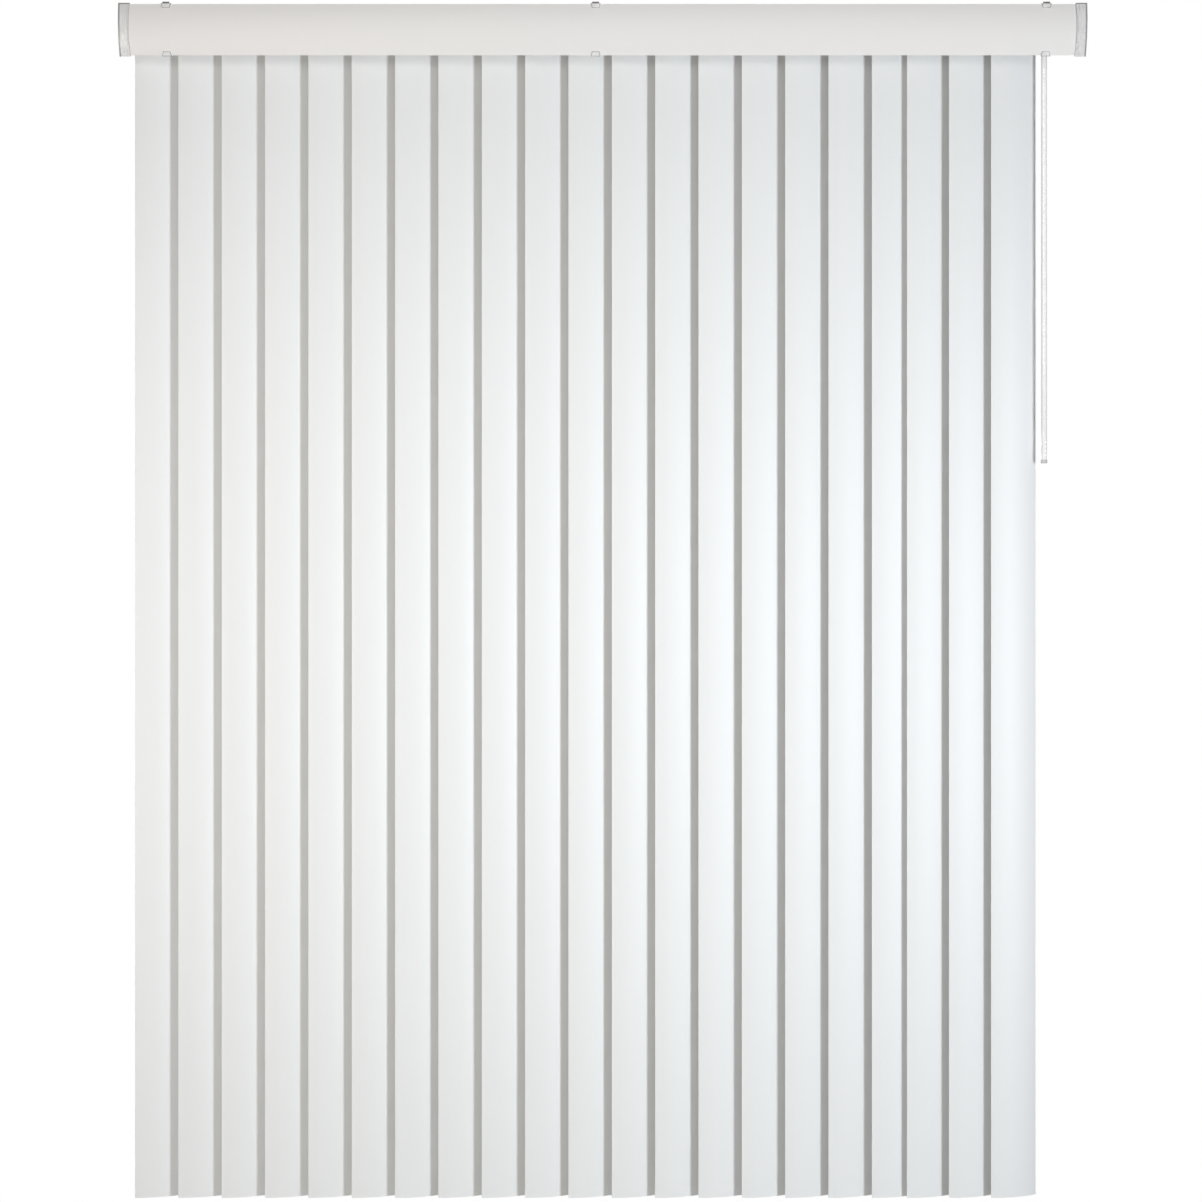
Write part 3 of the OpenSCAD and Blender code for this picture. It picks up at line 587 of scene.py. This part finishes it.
# %% Helpers for finished pieces
def place_piece(obj, name, body, slot, replaced=()):
    """Bakes the object's place into its mesh, gives it its finish and lets it ride on its body."""
    obj.name = name
    obj.data.name = name
    activate(obj)
    bpy.ops.object.transform_apply(location=True, rotation=True, scale=True)
    obj.data.materials.clear()
    obj.data.materials.append(finish_of[slot])
    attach(obj, body)
    if replaced:
        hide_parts(*replaced)


def extent(obj, axis):
    """The lowest and the highest place of a mesh along an axis: 0, 1 or 2."""
    places = [v.co[axis] for v in obj.data.vertices]
    return min(places), max(places)


def in_mm(values):
    return [round(v / MM, 2) for v in values]


# %% Roll one vane
SHEET_TOP = -40.1 * MM
RIM_BAND = 2 * MM
SLOT_BAND = 30 * MM
plain_band = SHEET_TOP - vane_low - SLOT_BAND - 2 * RIM_BAND
vane = start_point((0, 0, vane_low))
draw_edge([(0, 0, rise) for rise in (RIM_BAND, plain_band, SLOT_BAND, RIM_BAND)])
spin_round("Z", (0, 0, 1), (0, CURVE_RADIUS, 0), SHEET_STEPS)
end_sheet()
print("rolled sheet: x", in_mm(extent(vane, 0)), "mm, y", in_mm(extent(vane, 1)), "mm")

# %% Thicken it, punch the slot and break the edges
SLOT_MIDDLE = -49.1 * MM
SLOT_WIDTH = 13 * MM
SLOT_HEIGHT = 5 * MM
PUNCH_DEPTH = 20 * MM
NEARLY_ROUND = 0.98
apply_modifier(vane, "SOLIDIFY", thickness=VANE_SHEET, offset=0.0)
punch = new_block((0, 0, SLOT_MIDDLE), (SLOT_WIDTH, PUNCH_DEPTH, SLOT_HEIGHT))
bevel_along(punch, axis=1, offset=SLOT_HEIGHT / 2 * NEARLY_ROUND, segments=8)
apply_modifier(vane, "BOOLEAN", object=punch, operation="DIFFERENCE", solver="EXACT")
bpy.data.objects.remove(punch)
round_edges(vane, width=0.14 * MM, segments=2, sharp_from=40, smooth_below=30)
print("finished vane:", len(vane.data.vertices), "vertices")

# %% Hang a copy from every axis
for name in vane_names:
    sheet = copy_of(vane)
    sheet.rotation_euler = (0, 0, VANE_TURN)
    sheet.location = (vane_axis[name], 0, 0)
    place_piece(sheet, name.replace("vane", "vane_sheet"), name, "vane_pvc", [name])
bpy.data.objects.remove(vane)
print("vanes hung:", len(vane_names))

# %% [markdown]
# ## Hangers
# A hanger is one nylon moulding: a stem with a toothed pinion above, and two fingers that pinch the vane
# while a small barb holds it by its slot. The frame already has its exact shape, so a copy of that mesh
# is merged, cut free of the plain sheet and softened along its edges, as the moulding's edges are.

# %% Take a softened copy of a node
FINE_WELD = 0.001 * MM
FLAT_WITHIN = math.radians(0.5)


def softened(node, width, keep=None):
    """A merged copy of a CAD node's mesh with rounded edges. keep picks one loose part of it."""
    piece = bpy.data.objects.new("softened", nodes[node].data.copy())
    bpy.context.scene.collection.objects.link(piece)
    start_edit(piece)
    bpy.ops.mesh.customdata_custom_splitnormals_clear()
    bpy.ops.mesh.select_all(action="SELECT")
    bpy.ops.mesh.remove_doubles(threshold=FINE_WELD)
    bpy.ops.mesh.dissolve_limited(angle_limit=FLAT_WITHIN)
    if keep is not None:
        bpy.ops.mesh.separate(type="LOOSE")
    end_edit()
    if keep is not None:
        parts = [o for o in bpy.context.selected_objects if o.type == "MESH"]
        piece = min(parts, key=keep)
        for other in parts:
            if other is not piece:
                bpy.data.objects.remove(other)
    round_edges(piece, width, segments=2, sharp_from=35, smooth_below=35)
    return piece


def height_of(obj):
    lowest, highest = extent(obj, 2)
    return highest - lowest


hanger = softened("vane_01", width=0.15 * MM, keep=height_of)
print("hanger: %.1f mm high, %d faces" % (height_of(hanger) / MM, len(hanger.data.polygons)))
for name in vane_names:
    twin = copy_of(hanger)
    twin.location = (vane_axis[name] - vane_axis["vane_01"], 0, 0)
    place_piece(twin, name.replace("vane", "hanger"), name, "carrier_nylon")
bpy.data.objects.remove(hanger)

# %% [markdown]
# ## Valance
# The valance is the same crowned strip, laid along the headrail and leaning back at its lower edge. One
# long edge is spun round the strip's own centre line. Its two long rims stay rounded, and the lower
# one shows as a bright line where it turns towards the light.

# %% Roll the valance strip
VALANCE_LEAN = math.radians(8)
VALANCE_SHEET = 1.0 * MM
VALANCE_CROWN_Y, VALANCE_CROWN_Z = -63.816 * MM, -49.491 * MM
END_BAND = 3 * MM
strip_low, strip_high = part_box("valance_strip")
plain_run = strip_high.x - strip_low.x - 2 * END_BAND
centre_y = VALANCE_CROWN_Y + CURVE_RADIUS * math.cos(VALANCE_LEAN)
centre_z = VALANCE_CROWN_Z + CURVE_RADIUS * math.sin(VALANCE_LEAN)
valance_centre = (0, centre_y, centre_z)
strip = start_point((strip_low.x, VALANCE_CROWN_Y, VALANCE_CROWN_Z))
draw_edge([(run, 0, 0) for run in (END_BAND, plain_run, END_BAND)])
spin_round("X", (1, 0, 0), valance_centre, SHEET_STEPS)
end_sheet()
apply_modifier(strip, "SOLIDIFY", thickness=VALANCE_SHEET, offset=0.0)
round_edges(strip, width=0.35 * MM, segments=3, sharp_from=40, smooth_below=30)
for letter, axis in (("x", 0), ("y", 1), ("z", 2)):
    print("strip", letter, in_mm(extent(strip, axis)), "frame", in_mm((strip_low[axis], strip_high[axis])))
place_piece(strip, "valance_sheet", "frame", "valance_pvc", ["valance_strip"])

# %% [markdown]
# ## End caps and clips
# The caps at the valance's ends and the three clips are clear mouldings with thin walls. What shows of
# them is their edges, so softened copies of the frame's shapes are used: a rounded edge in clear plastic
# draws the fine bright and dark lines that a sharp one lacks. The front of each lip is inset once, and the
# border that this leaves is painted a little darker, as painted shade. A thumb tab stands on top of each
# clip, to push it off with, and is painted dark as painted shade.

# %% The valance's caps
for name in ("valance_end_left", "valance_end_right"):
    place_piece(softened(name, width=0.3 * MM), name + "_cap", "frame", "valance_end", [name])

# %% The borders of the clips' lips
LIP_BORDER = 1.0 * MM
FRONT_LIMIT = -0.6
SMALL_FACE = 3 * MM ** 2


def mark_faces(obj, name, values):
    marks = obj.data.attributes.new(name, "FLOAT", "FACE")
    marks.data.foreach_set("value", values)


def border_lips(clip):
    """Insets the faces that look to the front and marks what is left around them for painted shade."""
    start_edit(clip)
    bpy.ops.mesh.select_mode(type="FACE")
    bpy.ops.mesh.select_all(action="DESELECT")
    shape = bmesh.from_edit_mesh(clip.data)
    for face in shape.faces:
        face.select_set(face.normal.y < FRONT_LIMIT and face.calc_area() > SMALL_FACE)
    bmesh.update_edit_mesh(clip.data)
    bpy.ops.mesh.inset(thickness=LIP_BORDER)
    end_edit()
    borders = [float(p.normal.y < FRONT_LIMIT and not p.select) for p in clip.data.polygons]
    mark_faces(clip, "border", borders)


# %% The valance's clips
TAB_WIDTH = 12.4 * MM
TAB_DEPTH = 1.4 * MM
TAB_TOP = -0.2 * MM
TAB_SINK = 0.8 * MM
CREST_BAND = 1 * MM
for name in ("valance_clip_left", "valance_clip_centre", "valance_clip_right"):
    clip = softened(name, width=0.2 * MM)
    border_lips(clip)
    clip_low, clip_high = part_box(name)
    crest = [v.co.y for v in clip.data.vertices if v.co.z > clip_high.z - CREST_BAND]
    tab_foot = clip_high.z - TAB_SINK
    tab_place = ((clip_low.x + clip_high.x) / 2, sum(crest) / len(crest), (TAB_TOP + tab_foot) / 2)
    tab = new_block(tab_place, (TAB_WIDTH, TAB_DEPTH, TAB_TOP - tab_foot))
    apply_modifier(tab, "BEVEL", width=0.35 * MM, segments=3)
    smooth_by_angle(tab, degrees=40)
    # The whole tab is marked for its painted shade.
    mark_faces(tab, "tab", [1.0] * len(tab.data.polygons))
    print(name, "top %.2f mm, tab at" % (clip_high.z / MM), in_mm(tab_place))
    place_piece(clip, name + "_hook", "frame", "clip_clear", [name])
    place_piece(tab, name + "_tab", "frame", "clip_clear")

# %% [markdown]
# ## Beads on the caps
# Two fine lines cross each cap, one along its swept inner edge and one that bows the other way. On the
# moulding they are raised beads. A bead could be cut out of the cap's mesh, but a line of points spun
# round the valance's centre line is simpler: it becomes a curve, and the curve's bevel makes it round.

# %% Lay the beads
BEAD_STEPS = 28
cap_radius = centre_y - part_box("valance_end_left")[0].y
face_y = centre_y - cap_radius * math.cos(VALANCE_LEAN)
face_z = centre_z - cap_radius * math.sin(VALANCE_LEAN)


def bead_on_cap(name, side, middle, ends, thickness):
    """A bead over the height of a cap. Its distance from the blind's middle goes from middle to ends."""
    bead = start_point((side * middle, face_y, face_z))
    spin_round("X", (1, 0, 0), valance_centre, BEAD_STEPS)
    shape = bmesh.from_edit_mesh(bead.data)
    for v in shape.verts:
        share = (v.co.z - face_z) / (VANE_WIDTH / 2)
        v.co.x += side * (ends - middle) * share ** 2
    bmesh.update_edit_mesh(bead.data)
    end_edit()
    bpy.ops.object.convert(target="CURVE")
    bead.data.bevel_depth = thickness / 2
    bead.data.bevel_resolution = 3
    bead.data.use_fill_caps = True
    bpy.ops.object.convert(target="MESH")
    smooth_by_angle(bead, degrees=50)
    print(name, "faces:", len(bead.data.polygons))
    place_piece(bead, name, "frame", "valance_end")


for side, cap in ((-1, "valance_end_left"), (1, "valance_end_right")):
    bead_on_cap(cap + "_rim", side, middle=840.9 * MM, ends=838.9 * MM, thickness=1.1 * MM)
    bead_on_cap(cap + "_rib", side, middle=842.6 * MM, ends=845.0 * MM, thickness=0.9 * MM)

# %% [markdown]
# ## Wand
# The wand is a clear six-sided rod. It starts as a six-sided cylinder at its real length, its long edges
# are bevelled as an extruded rod's are, and its fittings are softened copies of the frame's.

# %% Shape the wand
WAND_FLATS = 9.4 * MM
FLATS_FORWARD = (0, 0, math.radians(30))
rod_low, rod_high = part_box("wand_rod")
rod_middle = (rod_low + rod_high) / 2
bpy.ops.object.select_all(action="DESELECT")
bpy.ops.mesh.primitive_cylinder_add(
    vertices=6, radius=WAND_FLATS / math.sqrt(3), depth=rod_high.z - rod_low.z,
    location=rod_middle, rotation=FLATS_FORWARD,
)
wand = bpy.context.object
bpy.ops.object.transform_apply(location=True, rotation=True, scale=True)
bevel_along(wand, axis=2, offset=0.7 * MM, segments=3)
smooth_by_angle(wand, degrees=35)
for letter, axis in (("x", 0), ("y", 1), ("z", 2)):
    print("wand", letter, in_mm(extent(wand, axis)), "frame", in_mm((rod_low[axis], rod_high[axis])))
place_piece(wand, "wand_hex_rod", "wand", "wand_clear", ["wand_rod"])
for name, piece in (("wand_top_clip", "wand_top_fitting"), ("wand_tip", "wand_tip_fitting")):
    place_piece(softened(name, width=0.3 * MM), piece, "wand", "wand_fitting", [name])
